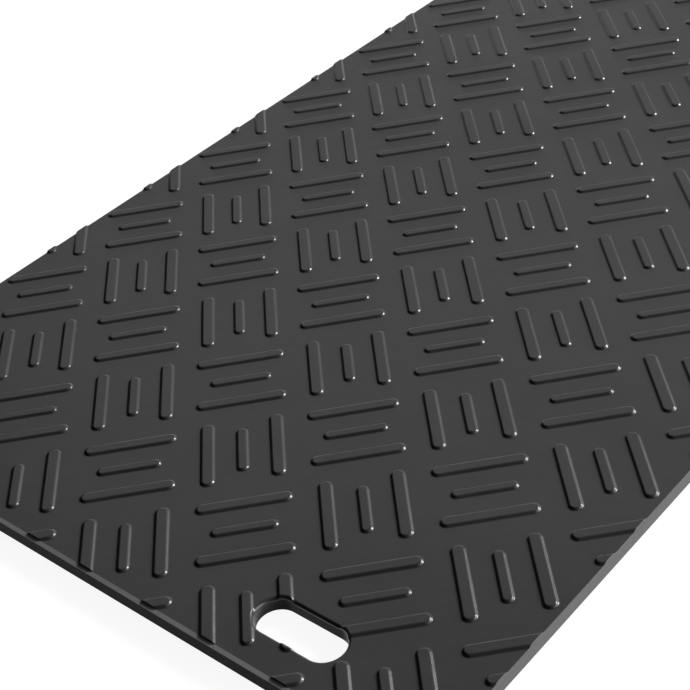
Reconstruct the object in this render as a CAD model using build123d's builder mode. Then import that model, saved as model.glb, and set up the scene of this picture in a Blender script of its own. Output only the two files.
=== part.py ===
# Ground protection mat: one thick plastic sheet to walk and drive on.
# The top carries a tread of raised bars, three to a square cell, turned a quarter turn from
# cell to cell and set at 45 degrees to the sides. The underside is smooth.
# The tread is moulded over a larger sheet, so the sides and hand slots cut through its bars.
# Along both ends the bars are cut back, which leaves a narrow flat margin level with the plate.
# X is the width, Y the length and Z up. The origin is the middle of the underside.
from build123d import *
import os
from math import ceil, cos, hypot, radians, sin, sqrt

os.makedirs("parts", exist_ok=True)

# Sheet
mat_length = 2000
mat_width = 1000
plate_thickness = 17.5
end_margin = 6

# Tread cells, in rows at tread_angle to the sides, counted from one whole cell near a corner
tread_pitch = 133
tread_angle = 45
tread_height = 2.5
flank_angle = 45
cell_from_side = 357
cell_from_end = 426

# Bars of a cell, measured at their foot: a short one between two long ones
long_bar_length = 112
long_bar_width = 19
short_bar_length = 78
short_bar_width = 16.5
bar_spacing = 41

# Hand slots, two at each end
slot_length = 115
slot_width = 47
slot_from_side = 210
slot_from_end = 69
slot_rim_chamfer = 1.5

half_length = mat_length / 2
half_width = mat_width / 2
cell_reach = tread_pitch / sqrt(2)
plate_top = Plane.XY.offset(plate_thickness)
slot_places = GridLocations(mat_width - 2 * slot_from_side, mat_length - 2 * slot_from_end, 2, 2)


def bar_blank(length, width):
    """One tread bar along X, with each rounded end simplified to half a regular octagon."""
    corner = width / (2 + sqrt(2))
    with BuildPart() as bar:
        with BuildSketch(plate_top) as foot:
            Rectangle(length, width)
            chamfer(foot.vertices(), length=corner)
        extrude(amount=tread_height, taper=flank_angle)
    return bar.part


def is_inside(point, from_side, from_end):
    """Whether a point is that far inside the sides and ends."""
    return abs(point.X) < half_width - from_side and abs(point.Y) < half_length - from_end


def cell_places():
    """Middle and turn of every tread cell that reaches the sheet."""
    first = Vector(cell_from_side - half_width, cell_from_end - half_length)
    along = Vector(cos(radians(tread_angle)), sin(radians(tread_angle))) * tread_pitch
    across = Vector(along.Y, -along.X)
    count = ceil(hypot(mat_length, mat_width) / tread_pitch)
    places = []
    for i in range(-count, count + 1):
        for j in range(-count, count + 1):
            centre = first + along * i + across * j
            turn = tread_angle if (i + j) % 2 else tread_angle - 90
            if is_inside(centre, -cell_reach, -cell_reach):
                places.append(Location((centre.X, centre.Y, 0), (0, 0, turn)))
    return places


def is_whole(place):
    """Whether a cell clears the sides, the ends and the slots, so that nothing trims it."""
    slot_zone = slot_from_end + slot_width / 2 + slot_rim_chamfer
    return is_inside(place.position, cell_reach, cell_reach + slot_zone)


# Three bars of one cell
with BuildPart() as cell:
    add(bar_blank(short_bar_length, short_bar_width))
    with Locations((0, -bar_spacing), (0, bar_spacing)):
        add(bar_blank(long_bar_length, long_bar_width))

# Cells along the border, trimmed to the sides and the end margins and cut back to the slot rims
cells = cell_places()
with BuildPart() as border_tread:
    with Locations(*[place for place in cells if not is_whole(place)]):
        add(cell.part, clean=False)
    with BuildSketch(plate_top):
        Rectangle(mat_width, mat_length - 2 * end_margin)
    extrude(amount=tread_height, mode=Mode.INTERSECT, clean=False)
    with BuildSketch(plate_top):
        with slot_places:
            SlotOverall(slot_length + 2 * slot_rim_chamfer, slot_width + 2 * slot_rim_chamfer)
    extrude(amount=tread_height, mode=Mode.SUBTRACT, clean=False)

with BuildPart() as mat:
    with BuildSketch():
        Rectangle(mat_width, mat_length)
    extrude(amount=plate_thickness)
    with BuildSketch():
        with slot_places:
            SlotOverall(slot_length, slot_width)
    extrude(amount=plate_thickness, mode=Mode.SUBTRACT)
    slot_rims = mat.edges(Select.LAST).filter_by(Axis.Z, reverse=True)
    chamfer(slot_rims, length=slot_rim_chamfer)

    # Whole cells and border tread together
    inner_tread = [cell.part.moved(place) for place in cells if is_whole(place)]
    add(inner_tread + [border_tread.part])

mat.part.label = "mat"
export_step(mat.part, "parts/mat.step")
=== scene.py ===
# Ground protection mat: a fine mesh of the sheet, its materials, the studio and the camera.
import bpy
import math
import numpy as np
from mathutils import Matrix, Vector
from mathutils.geometry import delaunay_2d_cdt


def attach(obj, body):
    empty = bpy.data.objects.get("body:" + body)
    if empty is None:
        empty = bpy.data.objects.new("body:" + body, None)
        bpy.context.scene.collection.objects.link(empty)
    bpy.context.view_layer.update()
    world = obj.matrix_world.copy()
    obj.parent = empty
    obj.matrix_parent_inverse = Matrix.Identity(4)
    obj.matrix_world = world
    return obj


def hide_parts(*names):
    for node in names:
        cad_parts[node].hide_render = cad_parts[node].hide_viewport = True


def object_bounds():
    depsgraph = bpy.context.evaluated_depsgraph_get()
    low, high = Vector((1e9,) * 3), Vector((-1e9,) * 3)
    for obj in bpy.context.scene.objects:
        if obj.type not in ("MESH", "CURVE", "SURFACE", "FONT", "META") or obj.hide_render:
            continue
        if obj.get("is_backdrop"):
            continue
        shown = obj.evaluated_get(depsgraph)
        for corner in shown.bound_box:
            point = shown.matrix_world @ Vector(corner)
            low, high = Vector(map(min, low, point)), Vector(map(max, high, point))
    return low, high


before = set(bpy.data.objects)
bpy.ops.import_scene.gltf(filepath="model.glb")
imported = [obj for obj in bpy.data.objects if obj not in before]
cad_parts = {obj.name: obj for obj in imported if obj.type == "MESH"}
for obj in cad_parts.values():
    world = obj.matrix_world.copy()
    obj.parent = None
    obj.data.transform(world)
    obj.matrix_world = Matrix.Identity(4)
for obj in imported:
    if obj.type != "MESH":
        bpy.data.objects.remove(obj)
cad_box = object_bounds()

# Sheet, tread and slots in millimetres, as in the CAD source
WIDTH, LENGTH = 1000.0, 2000.0
PLATE = 17.5
TREAD = 2.5
END_MARGIN = 6.0
PITCH = 133.0
CELL_FROM_SIDE, CELL_FROM_END = 357.0, 426.0
LONG_BAR = (112.0, 19.0)
SHORT_BAR = (78.0, 16.5)
BAR_SPACING = 41.0
SLOT_LENGTH, SLOT_WIDTH = 115.0, 47.0
SLOT_FROM_SIDE, SLOT_FROM_END = 210.0, 69.0

# Flanks, roundings and broken edges that only the visual model has, in millimetres
FLANK_IN = 0.9
FLANK_RUN = 2.6
FOOT_R = 2.6
SHOULDER_R = 3.4
RIM_R = 4.0
TOP_BREAK = 0.4
BOTTOM_BREAK = 0.5
CUT_RUN = 0.25

# Fineness of the mesh
END_SEGMENTS = 12  # in a bar's round end
SLOT_SEGMENTS = 28  # in a slot's round end
ROUNDING_STEPS = 3  # in a bar's foot, and in its shoulder
RIM_ANGLES = (90, 70, 52, 35, 18, 0)  # degrees, from a slot's wall out to the plate
OUTLINE_STEP = 50.0  # millimetres along the sheet's outline

# Tests of what lies where, in millimetres
CLEAR_OF_RIM = 0.5  # least room between a whole bar and a slot's rounded rim
ON_BORDER = 0.1  # a point this near the outline or a slot's wall is on it
AT_SLOT = 1.0  # a border point this near a slot's wall belongs to the slot
MERGE = 1e-4  # points this near become one
SLOPE_STEP = 0.01  # step to either side over which a slope is measured
TINY = 1e-9  # a length this small counts as none

# Counts that only have to be large enough
SPINE_POINTS = 80  # places along a bar where its distance to a slot is taken
CELL_REACH = 20  # cells laid each way from the first one

# Blender works in metres
MM_PER_M = 1000

# Values that follow
HALF_WIDTH, HALF_LENGTH = WIDTH / 2, LENGTH / 2
SIN_45 = math.sqrt(0.5)
FIRST_CELL = (CELL_FROM_SIDE - HALF_WIDTH, CELL_FROM_END - HALF_LENGTH)
SLOT_X, SLOT_Y = HALF_WIDTH - SLOT_FROM_SIDE, HALF_LENGTH - SLOT_FROM_END
SLOPE = math.atan2(TREAD, FLANK_RUN)
FOOT_START = FLANK_IN - FOOT_R * math.tan(SLOPE / 2)
SHOULDER_END = FLANK_IN + FLANK_RUN + SHOULDER_R * math.tan(SLOPE / 2)

# Bars of one cell: offset across the cell, length and width
CELL_BARS = ((0.0,) + SHORT_BAR, (-BAR_SPACING,) + LONG_BAR, (BAR_SPACING,) + LONG_BAR)

# Numbers of the materials on the mesh
MOULDED, MACHINED, SLOT_WALL = 0, 1, 2


# Heights of the top
def bar_profile(inside):
    """Height over the plate at a distance inside a bar's foot line."""
    z = np.clip((inside - FLANK_IN) / FLANK_RUN, 0.0, 1.0) * TREAD
    up = inside - FOOT_START
    foot_z = FOOT_R - np.sqrt(np.maximum(FOOT_R**2 - up**2, 0))
    z = np.where((up > 0) & (up < FOOT_R * math.sin(SLOPE)), foot_z, z)
    left = SHOULDER_END - inside
    shoulder_z = TREAD - SHOULDER_R + np.sqrt(np.maximum(SHOULDER_R**2 - left**2, 0))
    return np.where((left > 0) & (left < SHOULDER_R * math.sin(SLOPE)), shoulder_z, z)


def ring_insets():
    """Distances inside the foot line at which a bar gets a ring of points, from the foot up."""
    turns = [SLOPE * k / ROUNDING_STEPS for k in range(ROUNDING_STEPS + 1)]
    foot = [FOOT_START + FOOT_R * math.sin(turn) for turn in turns]
    shoulder = [SHOULDER_END - SHOULDER_R * math.sin(turn) for turn in reversed(turns)]
    return foot + shoulder


RING_INSETS = ring_insets()


def tread_height(x, y):
    """Height of the bars over the plate, before anything is trimmed."""
    u = ((x - FIRST_CELL[0]) + (y - FIRST_CELL[1])) * SIN_45 / PITCH
    v = ((x - FIRST_CELL[0]) - (y - FIRST_CELL[1])) * SIN_45 / PITCH
    row, column = np.round(u), np.round(v)
    a, b = (u - row) * PITCH, (v - column) * PITCH
    turned = np.mod(row + column, 2) == 1
    along, across = np.where(turned, a, b), np.where(turned, b, a)
    z = np.zeros_like(x)
    for offset, length, width in CELL_BARS:
        beyond = np.maximum(np.abs(along) - (length - width) / 2, 0)
        z = np.maximum(z, bar_profile(width / 2 - np.hypot(beyond, across - offset)))
    return z


def slot_distance(x, y):
    """Distance outside the nearest slot's wall, and the unit vector away from the slot."""
    dx, dy = np.abs(x) - SLOT_X, np.abs(y) - SLOT_Y
    half = (SLOT_LENGTH - SLOT_WIDTH) / 2
    ex = dx - np.clip(dx, -half, half)
    r = np.hypot(ex, dy)
    r_safe = np.maximum(r, TINY)
    return r - SLOT_WIDTH / 2, ex / r_safe * np.sign(x), dy / r_safe * np.sign(y)


def from_edge(x, y):
    return np.minimum(HALF_WIDTH - np.abs(x), HALF_LENGTH - np.abs(y))


def surface(x, y):
    """Height of the top, with bars cut back at the end margins, rounded rims and broken edges."""
    kept = np.clip((HALF_LENGTH - END_MARGIN - np.abs(y)) / CUT_RUN, 0, 1)
    run = np.clip(RIM_R - slot_distance(x, y)[0], 0, RIM_R)
    rim_drop = RIM_R - np.sqrt(np.maximum(RIM_R**2 - run**2, 0))
    edge_drop = np.maximum(0, TOP_BREAK - from_edge(x, y))
    return PLATE + tread_height(x, y) * kept - rim_drop - edge_drop


def surface_normals(xy):
    """Unit normals of the untrimmed top, so that flats stay flat and roundings are smooth."""
    x, y = xy[:, 0], xy[:, 1]
    step = SLOPE_STEP
    slope_x = (tread_height(x + step, y) - tread_height(x - step, y)) / (2 * step)
    slope_y = (tread_height(x, y + step) - tread_height(x, y - step)) / (2 * step)
    gap, away_x, away_y = slot_distance(x, y)
    sin_rim = np.clip((RIM_R - gap) / RIM_R, 0, 1)
    cos_rim = np.sqrt(1 - sin_rim**2)
    normals = np.c_[
        -away_x * sin_rim - slope_x * cos_rim,
        -away_y * sin_rim - slope_y * cos_rim,
        cos_rim,
    ]
    return normals / np.linalg.norm(normals, axis=1)[:, None]


# Outlines with round ends
def stadium(length, width, offset, segments):
    """Points round a slot or a bar, counterclockwise, pushed outwards by offset."""
    half = (length - width) / 2
    r = width / 2 + offset
    a = np.radians(np.linspace(-90, 90, segments + 1))
    right = np.c_[half + r * np.cos(a), r * np.sin(a)]
    return np.r_[right, -right]


def inside_stadium(along, across, length, width, offset, segments):
    """Whether points are inside the many-sided outline that stadium() draws."""
    beyond = np.maximum(np.abs(along) - (length - width) / 2, 0)
    step = math.pi / segments
    turn = np.mod(np.arctan2(np.abs(across), beyond), step) - step / 2
    reach = (width / 2 + offset) * math.cos(step / 2) / np.cos(turn)
    return np.hypot(beyond, across) < reach


def inside_slot(points, offset):
    along, across = np.abs(points[:, 0]) - SLOT_X, np.abs(points[:, 1]) - SLOT_Y
    return inside_stadium(along, across, SLOT_LENGTH, SLOT_WIDTH, offset, SLOT_SEGMENTS)


class Bar:
    """A tread bar, with its direction and the direction across it."""

    def __init__(self, cell, along, offset, length, width):
        self.along = along
        self.side = np.array((-along[1], along[0]))
        self.centre = cell + self.side * offset
        self.length, self.width = length, width

    def ring(self, inset):
        points = stadium(self.length, self.width, -inset, END_SEGMENTS)
        return self.centre + points[:, :1] * self.along + points[:, 1:] * self.side

    def over(self, points):
        """Whether points are inside the bar's outermost ring."""
        rel = points - self.centre
        return inside_stadium(
            rel @ self.along, rel @ self.side, self.length, self.width, -RING_INSETS[0], END_SEGMENTS
        )

    def slot_clearance(self):
        """Room between the bar's outermost ring and the nearest slot's wall."""
        run = np.linspace(-0.5, 0.5, SPINE_POINTS)[:, None] * (self.length - self.width)
        spine = self.centre + run * self.along
        return slot_distance(spine[:, 0], spine[:, 1])[0].min() - self.width / 2 + RING_INSETS[0]


def bars():
    """Every bar whose cell comes near the sheet, turned a quarter turn from cell to cell."""
    for i in range(-CELL_REACH, CELL_REACH + 1):
        for j in range(-CELL_REACH, CELL_REACH + 1):
            cell_x = FIRST_CELL[0] + (i + j) * SIN_45 * PITCH
            cell_y = FIRST_CELL[1] + (i - j) * SIN_45 * PITCH
            if abs(cell_x) > HALF_WIDTH + PITCH or abs(cell_y) > HALF_LENGTH + PITCH:
                continue
            along = np.array((SIN_45, SIN_45 if (i + j) % 2 else -SIN_45))
            for offset, length, width in CELL_BARS:
                yield Bar(np.array((cell_x, cell_y)), along, offset, length, width)


# Flat plan of the top
class Plan:
    """Points and fixed edges of a flat triangulation."""

    def __init__(self):
        self.points = []
        self.edges = []

    def loop(self, pts, closed=True):
        start = len(self.points)
        self.points.extend((float(p[0]), float(p[1])) for p in pts)
        n = len(pts)
        self.edges.extend((start + k, start + k + 1) for k in range(n - 1))
        if closed:
            self.edges.append((start + n - 1, start))

    def triangulate(self):
        """Flat points, triangles, and the new number of each planned point."""
        points = [Vector(p) for p in self.points]
        verts, _, faces, origins, _, _ = delaunay_2d_cdt(points, self.edges, [], 0, MERGE)
        renamed = np.zeros(len(points), int)
        for new, olds in enumerate(origins):
            renamed[list(olds)] = new
        return np.array([v[:] for v in verts]), np.array([f[:] for f in faces]), renamed


def subdivided(p, q, step):
    n = max(1, int(math.ceil(math.dist(p, q) / step)))
    k = np.linspace(0, 1, n + 1)[:-1, None]
    return np.array(p) * (1 - k) + np.array(q) * k


def plan_outline(plan):
    """The sheet's outline, and the lines of its broken edges and of the cut at the end margins."""
    x, y = HALF_WIDTH, HALF_LENGTH
    corners = [(-x, -y), (x, -y), (x, y), (-x, y)]
    sides = [subdivided(corners[k], corners[(k + 1) % 4], OUTLINE_STEP) for k in range(4)]
    plan.loop(np.vstack(sides))
    for s in (-1, 1):
        side_x = s * (HALF_WIDTH - TOP_BREAK)
        plan.loop([(side_x, -y), (side_x, y)], closed=False)
        for inset in (TOP_BREAK, END_MARGIN, END_MARGIN + CUT_RUN):
            end_y = s * (HALF_LENGTH - inset)
            plan.loop([(-x, end_y), (x, end_y)], closed=False)


def plan_slots(plan):
    """The slots and the rings of their rounded rims."""
    for sx in (-1, 1):
        for sy in (-1, 1):
            for angle in RIM_ANGLES:
                offset = RIM_R * (1 - math.sin(math.radians(angle)))
                ring = stadium(SLOT_LENGTH, SLOT_WIDTH, offset, SLOT_SEGMENTS)
                plan.loop(ring + np.array((sx * SLOT_X, sy * SLOT_Y)))


def plan_bars(plan):
    """The bars. Whole ones are meshed apart, so only their outermost ring goes into the plan."""
    whole_bars = []
    for bar in bars():
        rings = [bar.ring(inset) for inset in RING_INSETS]
        x, y = np.abs(rings[0]).T
        if ((x > HALF_WIDTH) | (y > HALF_LENGTH)).all():
            continue
        on_flat = x.max() < HALF_WIDTH - 2 * TOP_BREAK
        on_flat = on_flat and y.max() < HALF_LENGTH - END_MARGIN - 2 * CUT_RUN
        if on_flat and bar.slot_clearance() > RIM_R + CLEAR_OF_RIM:
            whole_bars.append((bar, rings, len(plan.points)))
            plan.loop(rings[0])
        else:
            for ring in rings:
                plan.loop(ring)
    return whole_bars


def kept_triangles(flat, triangles, whole_bars):
    """The triangles that aren't outside the sheet, in a slot or under a whole bar."""
    middle = flat[triangles].mean(axis=1)
    keep = (np.abs(middle[:, 0]) < HALF_WIDTH) & (np.abs(middle[:, 1]) < HALF_LENGTH)
    keep &= ~inside_slot(middle, 0.0)
    for bar, _, _ in whole_bars:
        near = np.nonzero(keep & (np.abs(middle - bar.centre).max(axis=1) < bar.length))[0]
        keep[near[bar.over(middle[near])]] = False
    return triangles[keep]


def top_surface():
    """Points in plan and faces of the top: the plan, then strips and a cap on each whole bar."""
    plan = Plan()
    plan_outline(plan)
    plan_slots(plan)
    whole_bars = plan_bars(plan)
    flat, triangles, renamed = plan.triangulate()
    points = [flat]
    faces = [tuple(int(v) for v in t) for t in kept_triangles(flat, triangles, whole_bars)]
    count = len(flat)
    for _, rings, start in whole_bars:
        n = len(rings[0])
        lower = renamed[start:start + n]
        for ring in rings[1:]:
            upper = np.arange(count, count + n)
            points.append(ring)
            count += n
            for k in range(n):
                m = (k + 1) % n
                faces.append((int(lower[k]), int(lower[m]), int(upper[m]), int(upper[k])))
            lower = upper
        for k in range(END_SEGMENTS):
            cap = (lower[k], lower[k + 1], lower[n - 2 - k], lower[n - 1 - k])
            faces.append(tuple(int(v) for v in cap))
    return np.vstack(points), faces


def border_edges(xy, faces):
    """Edges with a face on one side only, along the sheet's outline and the slots."""
    directed = dict.fromkeys((f[k], f[(k + 1) % len(f)]) for f in faces for k in range(len(f)))
    slot_gap = np.abs(slot_distance(xy[:, 0], xy[:, 1])[0])
    on_border = np.minimum(from_edge(xy[:, 0], xy[:, 1]), slot_gap) < ON_BORDER
    return [(a, b) for a, b in directed if (b, a) not in directed and on_border[a] and on_border[b]]


class Skin:
    """Faces of the mesh, each with its material and a normal for each corner."""

    def __init__(self):
        self.faces = []
        self.kinds = []
        self.normals = []

    def add(self, face, kind, normals):
        self.faces.append(tuple(int(v) for v in face))
        self.kinds.append(kind)
        self.normals.extend(normals)


def face_normal(corners):
    n = np.cross(corners[1] - corners[0], corners[2] - corners[0])
    size = np.linalg.norm(n)
    return n / size if size > TINY else np.array((0.0, 0.0, 1.0))


def add_top(skin, xy, co, faces):
    """The top. Broken edges, end margins and cut bar ends are flat and machined."""
    normals = surface_normals(xy)
    for f in faces:
        x, y = xy[list(f)].mean(axis=0)
        from_end = HALF_LENGTH - abs(y)
        broken = from_edge(x, y) < TOP_BREAK
        cut_back = from_end < END_MARGIN + CUT_RUN and tread_height(x, y) > 0
        if broken or cut_back or from_end < END_MARGIN:
            skin.add(f, MACHINED, [face_normal(co[list(f[:3])])] * len(f))
        else:
            skin.add(f, MOULDED, [normals[v] for v in f])


def add_walls(skin, xy, border, wall_foot, under):
    """Walls down from the border and the broken edge below them."""
    down = np.array((0.0, 0.0, -1.0))
    for a, b in border:
        wall = (a, wall_foot[a], wall_foot[b], b)
        lip = (wall_foot[a], under[a], under[b], wall_foot[b])
        gap, away_x, away_y = slot_distance(xy[[a, b], 0], xy[[a, b], 1])
        if gap[0] < AT_SLOT:
            at_a, at_b = (np.array((-away_x[k], -away_y[k], 0.0)) for k in (0, 1))
            kind = SLOT_WALL
        else:
            outward = np.array((xy[b][1] - xy[a][1], xy[a][0] - xy[b][0], 0.0))
            at_a = at_b = outward / np.linalg.norm(outward)
            kind = MACHINED
        lip_a, lip_b = (at_a + down) * SIN_45, (at_b + down) * SIN_45
        skin.add(wall, kind, (at_a, at_a, at_b, at_b))
        skin.add(lip, kind, (lip_a, lip_a, lip_b, lip_b))


def add_underside(skin, co, border, under, first):
    """The flat underside. Gives back the points with those that the triangulation adds."""
    base = Plan()
    base.points = [(float(p[0]), float(p[1])) for p in co[first:, :2]]
    base.edges = [(under[a] - first, under[b] - first) for a, b in border]
    low, triangles, renamed = base.triangulate()
    number = np.full(len(low), -1)
    number[renamed] = first + np.arange(len(base.points))
    added = np.nonzero(number < 0)[0]
    number[added] = len(co) + np.arange(len(added))
    solid = ~inside_slot(low[triangles].mean(axis=1), BOTTOM_BREAK)
    for f in triangles[solid]:
        skin.add(number[f[::-1]], MOULDED, [(0, 0, -1)] * 3)
    return np.vstack([co, np.c_[low[added], np.zeros(len(added))]])


def sheet():
    """Points and skin of the whole sheet, in millimetres."""
    xy, faces = top_surface()
    border = border_edges(xy, faces)
    edge_points = sorted({v for edge in border for v in edge})
    x, y = xy[edge_points].T
    gap, away_x, away_y = slot_distance(x, y)
    n_top, n_edge = len(xy), len(edge_points)
    low_x = np.clip(x, BOTTOM_BREAK - HALF_WIDTH, HALF_WIDTH - BOTTOM_BREAK)
    low_y = np.clip(y, BOTTOM_BREAK - HALF_LENGTH, HALF_LENGTH - BOTTOM_BREAK)
    low_x = np.where(gap < AT_SLOT, x + away_x * BOTTOM_BREAK, low_x)
    low_y = np.where(gap < AT_SLOT, y + away_y * BOTTOM_BREAK, low_y)
    wall_foot = {v: n_top + k for k, v in enumerate(edge_points)}
    under = {v: n_top + n_edge + k for k, v in enumerate(edge_points)}
    co = np.vstack([
        np.c_[xy, surface(xy[:, 0], xy[:, 1])],
        np.c_[x, y, np.full(n_edge, BOTTOM_BREAK)],
        np.c_[low_x, low_y, np.zeros(n_edge)],
    ])
    skin = Skin()
    add_top(skin, xy, co, faces)
    add_walls(skin, xy, border, wall_foot, under)
    co = add_underside(skin, co, border, under, n_top + n_edge)
    return co, skin


def sheet_mesh():
    co, skin = sheet()
    used = np.zeros(len(co), bool)
    for f in skin.faces:
        used[list(f)] = True
    number = np.cumsum(used) - 1
    faces = [[int(number[v]) for v in f] for f in skin.faces]
    mesh = bpy.data.meshes.new("mat_visual")
    mesh.from_pydata((co[used] / MM_PER_M).tolist(), [], faces)
    mesh.polygons.foreach_set("material_index", skin.kinds)
    mesh.polygons.foreach_set("use_smooth", [True] * len(faces))
    mesh.normals_split_custom_set([tuple(float(c) for c in n) for n in skin.normals])
    print("triangles", sum(len(f) - 2 for f in faces))
    return mesh


mat_piece = bpy.data.objects.new("mat_visual", sheet_mesh())
bpy.context.scene.collection.objects.link(mat_piece)
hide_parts("mat")
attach(mat_piece, "root")


# Helpers for materials
def node_material(name):
    material = bpy.data.materials.new(name)
    material.use_nodes = True
    tree = material.node_tree
    return material, tree, tree.nodes["Principled BSDF"]


def add_node(tree, kind, **sockets):
    node = tree.nodes.new(kind)
    for key, value in sockets.items():
        node.inputs[key.replace("_", " ")].default_value = value
    return node


def noise(tree, place, scale, detail, rough):
    node = add_node(tree, "ShaderNodeTexNoise", Scale=scale, Detail=detail, Roughness=rough)
    tree.links.new(place, node.inputs["Vector"])
    return node.outputs["Fac"]


def remap(tree, value, span, result):
    """Spread the part of a value's range given by span over the range given by result."""
    node = add_node(tree, "ShaderNodeMapRange", From_Min=span[0], From_Max=span[1])
    node.inputs["To Min"].default_value, node.inputs["To Max"].default_value = result
    tree.links.new(value, node.inputs["Value"])
    return node.outputs["Result"]


def math_node(tree, operation, a, b):
    node = tree.nodes.new("ShaderNodeMath")
    node.operation = operation
    for k, v in enumerate((a, b)):
        if isinstance(v, float):
            node.inputs[k].default_value = v
        else:
            tree.links.new(v, node.inputs[k])
    return node.outputs["Value"]


def tint(tree, factor, dark, light):
    """A colour that runs from dark to light as the factor rises."""
    node = tree.nodes.new("ShaderNodeMix")
    node.data_type = "RGBA"
    node.inputs["A"].default_value = (*dark, 1)
    node.inputs["B"].default_value = (*light, 1)
    tree.links.new(factor, node.inputs["Factor"])
    return node.outputs["Result"]


def object_place(tree, stretch=(1, 1, 1)):
    place = tree.nodes.new("ShaderNodeTexCoord").outputs["Object"]
    mapping = tree.nodes.new("ShaderNodeMapping")
    mapping.inputs["Scale"].default_value = stretch
    tree.links.new(place, mapping.inputs["Vector"])
    return mapping.outputs["Vector"]


def bump(tree, height, strength, distance, before=None):
    node = add_node(tree, "ShaderNodeBump", Strength=strength, Distance=distance)
    tree.links.new(height, node.inputs["Height"])
    if before:
        tree.links.new(before, node.inputs["Normal"])
    return node.outputs["Normal"]


def link_shader(tree, shader, colour, roughness, relief):
    tree.links.new(colour, shader.inputs["Base Color"])
    tree.links.new(roughness, shader.inputs["Roughness"])
    tree.links.new(relief, shader.inputs["Normal"])


# Colours from dark to light, roughness from low to high, and the highlight of cut plastic
MOULDED_COLOURS = ((0.023, 0.023, 0.0235), (0.029, 0.029, 0.0295))
MOULDED_ROUGHNESS = (0.31, 0.37)
MACHINED_COLOURS = ((0.105, 0.105, 0.106), (0.145, 0.145, 0.146))
MACHINED_ROUGHNESS = (0.5, 0.62)
# Slot walls: darker partly by their smoother finish, partly as painted shade inside the slots
SLOT_WALL_COLOURS_WITH_SHADE = ((0.045, 0.045, 0.0455), (0.065, 0.065, 0.0655))
SLOT_WALL_ROUGHNESS = (0.3, 0.4)
CUT_SPECULAR = 0.03

# Parts of a noise's range that are spread over the roughness, and over the skin's colours
ROUGHNESS_SPAN = (0.3, 0.7)
COLOUR_SPAN = (0.35, 0.65)

# How much of the skin's shade comes from the coarse noise, and how much from the fine one
CLOUD_SHARE, FINE_SHARE = 0.7, 0.3


# Materials of the mat, with bump distances in metres
def moulded():
    """Moulded skin: slightly cloudy and wavy, with a fine grain."""
    material, tree, shader = node_material("moulded_plastic")
    place = object_place(tree)
    cloud = noise(tree, place, scale=9.0, detail=4.0, rough=0.6)
    fine = noise(tree, place, scale=160.0, detail=4.0, rough=0.6)
    grain = noise(tree, place, scale=900.0, detail=2.0, rough=0.5)
    cloud_part = math_node(tree, "MULTIPLY", cloud, CLOUD_SHARE)
    fine_part = math_node(tree, "MULTIPLY", fine, FINE_SHARE)
    mixed = math_node(tree, "ADD", cloud_part, fine_part)
    colour = tint(tree, remap(tree, mixed, COLOUR_SPAN, (0.0, 1.0)), *MOULDED_COLOURS)
    roughness = remap(tree, mixed, ROUGHNESS_SPAN, MOULDED_ROUGHNESS)
    wave = bump(tree, cloud, strength=0.25, distance=0.004)
    skin = bump(tree, fine, strength=0.12, distance=0.0006, before=wave)
    relief = bump(tree, grain, strength=0.1, distance=0.0002, before=skin)
    link_shader(tree, shader, colour, roughness, relief)
    return material


def machined():
    """Trimmed faces: paler and duller, with fine streaks along the upright ones."""
    material, tree, shader = node_material("machined_plastic")
    layers = object_place(tree, stretch=(1, 1, 60))
    streaks = noise(tree, layers, scale=14.0, detail=3.0, rough=0.6)
    fine = noise(tree, object_place(tree), scale=700.0, detail=2.0, rough=0.5)
    colour = tint(tree, streaks, *MACHINED_COLOURS)
    roughness = remap(tree, fine, ROUGHNESS_SPAN, MACHINED_ROUGHNESS)
    lines = bump(tree, streaks, strength=0.2, distance=0.0006)
    relief = bump(tree, fine, strength=0.15, distance=0.0002, before=lines)
    link_shader(tree, shader, colour, roughness, relief)
    shader.inputs["Specular IOR Level"].default_value = CUT_SPECULAR
    return material


def slot_wall():
    """Hand slot walls, milled smoother than the sides; darker partly by finish, partly as painted
    shade.
    """
    material, tree, shader = node_material("slot_wall_plastic")
    layers = object_place(tree, stretch=(1, 1, 40))
    streaks = noise(tree, layers, scale=20.0, detail=3.0, rough=0.6)
    colour = tint(tree, streaks, *SLOT_WALL_COLOURS_WITH_SHADE)
    roughness = remap(tree, streaks, ROUGHNESS_SPAN, SLOT_WALL_ROUGHNESS)
    relief = bump(tree, streaks, strength=0.15, distance=0.0005)
    link_shader(tree, shader, colour, roughness, relief)
    shader.inputs["Specular IOR Level"].default_value = CUT_SPECULAR
    return material


for material in (moulded(), machined(), slot_wall()):
    mat_piece.data.materials.append(material)

# Floor, in metres: pale by a glow that only the camera and reflections see, with a real shadow
FLOOR_HALF = 30.0
FLOOR_DROP = 0.0005
FLOOR_COLOUR = (0.15, 0.15, 0.15, 1)
FLOOR_GLOW = 0.92


def floor_material():
    material, tree, shader = node_material("floor_white")
    tree.nodes.remove(shader)
    diffuse = add_node(tree, "ShaderNodeBsdfDiffuse", Color=FLOOR_COLOUR)
    glow = add_node(tree, "ShaderNodeEmission", Color=(1, 1, 1, 1))
    rays = tree.nodes.new("ShaderNodeLightPath")
    seen = math_node(tree, "MAXIMUM", rays.outputs["Is Camera Ray"], rays.outputs["Is Glossy Ray"])
    seen = math_node(tree, "MAXIMUM", seen, rays.outputs["Is Transmission Ray"])
    tree.links.new(math_node(tree, "MULTIPLY", seen, FLOOR_GLOW), glow.inputs["Strength"])
    both = tree.nodes.new("ShaderNodeAddShader")
    tree.links.new(diffuse.outputs[0], both.inputs[0])
    tree.links.new(glow.outputs[0], both.inputs[1])
    tree.links.new(both.outputs[0], tree.nodes["Material Output"].inputs["Surface"])
    return material


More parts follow.
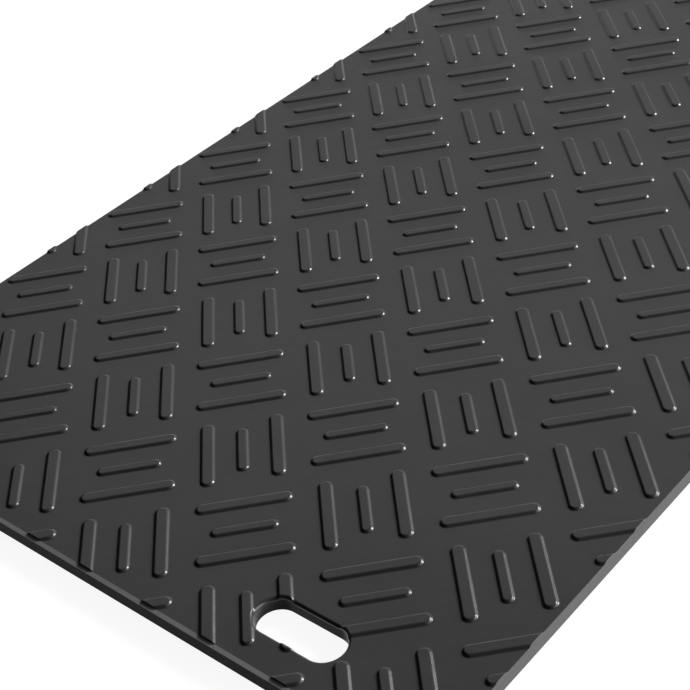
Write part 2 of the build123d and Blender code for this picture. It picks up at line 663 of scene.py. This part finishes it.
def add_floor():
    corners = [(x * FLOOR_HALF, y * FLOOR_HALF, 0) for x, y in ((-1, -1), (1, -1), (1, 1), (-1, 1))]
    mesh = bpy.data.meshes.new("floor")
    mesh.from_pydata(corners, [], [(0, 1, 2, 3)])
    mesh.materials.append(floor_material())
    floor = bpy.data.objects.new("floor", mesh)
    floor.location.z = -FLOOR_DROP
    bpy.context.scene.collection.objects.link(floor)
    floor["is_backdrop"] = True


add_floor()

# World: a trace of even light
WORLD_STRENGTH = 0.01
world = bpy.data.worlds.new("studio")
world.use_nodes = True
background = world.node_tree.nodes["Background"]
background.inputs["Color"].default_value = (1, 1, 1, 1)
background.inputs["Strength"].default_value = WORLD_STRENGTH
bpy.context.scene.world = world

# Lamps: direction from the middle of the view, distance and size in metres, and radiance
VIEW_MIDDLE = Vector((0.1, -0.45, 0.0))
LAMPS = {
    "key": ((0.315, 0.841, 0.442), 9.0, (2.0, 2.0), 93.0),
    "high_panel": ((-0.49, 0.52, 0.70), 5.0, (5.0, 2.4), 0.6),
    "low_panel": ((-0.62, 0.66, 0.42), 5.0, (5.0, 2.2), 0.27),
    "right_panel": ((0.9, 0.35, 0.25), 5.0, (5.0, 2.4), 7.2),
    "horizon": ((-0.68, 0.73, 0.08), 5.0, (4.0, 0.8), 2.2),
}


def area_light(name, direction, distance, size, radiance):
    """A soft rectangular lamp that faces the middle of the view."""
    lamp = bpy.data.lights.new(name, "AREA")
    lamp.shape = "RECTANGLE"
    lamp.size, lamp.size_y = size
    lamp.energy = radiance * math.pi * size[0] * size[1]
    holder = bpy.data.objects.new(name, lamp)
    towards = Vector(direction).normalized()
    holder.location = VIEW_MIDDLE + towards * distance
    holder.rotation_euler = towards.to_track_quat("Z", "Y").to_euler()
    bpy.context.scene.collection.objects.link(holder)


for name, (direction, distance, size, radiance) in LAMPS.items():
    area_light(name, direction, distance, size, radiance)

# Camera at the photograph's viewing angle: place in metres, turn as a matrix, lens in millimetres
CAMERA_PLACE = (1.15879, -1.60188, 1.17041)
CAMERA_TURN = (
    (0.7722045, -0.3077946, 0.5558442),
    (0.6241961, 0.5308742, -0.5731944),
    (-0.1186572, 0.7895790, 0.6020676),
)
CAMERA_LENS = 80.654
CAMERA_SENSOR = 36.0
CAMERA_SHIFT = -0.1
CAMERA_FAR = 100.0

camera = bpy.data.cameras.new("camera")
camera.sensor_fit = "HORIZONTAL"
camera.sensor_width = CAMERA_SENSOR
camera.lens = CAMERA_LENS
camera.shift_x = CAMERA_SHIFT
camera.clip_end = CAMERA_FAR
view = bpy.data.objects.new("camera", camera)
view.matrix_world = Matrix.Translation(CAMERA_PLACE) @ Matrix(CAMERA_TURN).to_4x4()
bpy.context.scene.collection.objects.link(view)
bpy.context.scene.camera = view
bpy.context.scene.view_settings.view_transform = "Standard"

size = {"cad": [list(c) for c in cad_box], "visual": [list(c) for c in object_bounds()]}
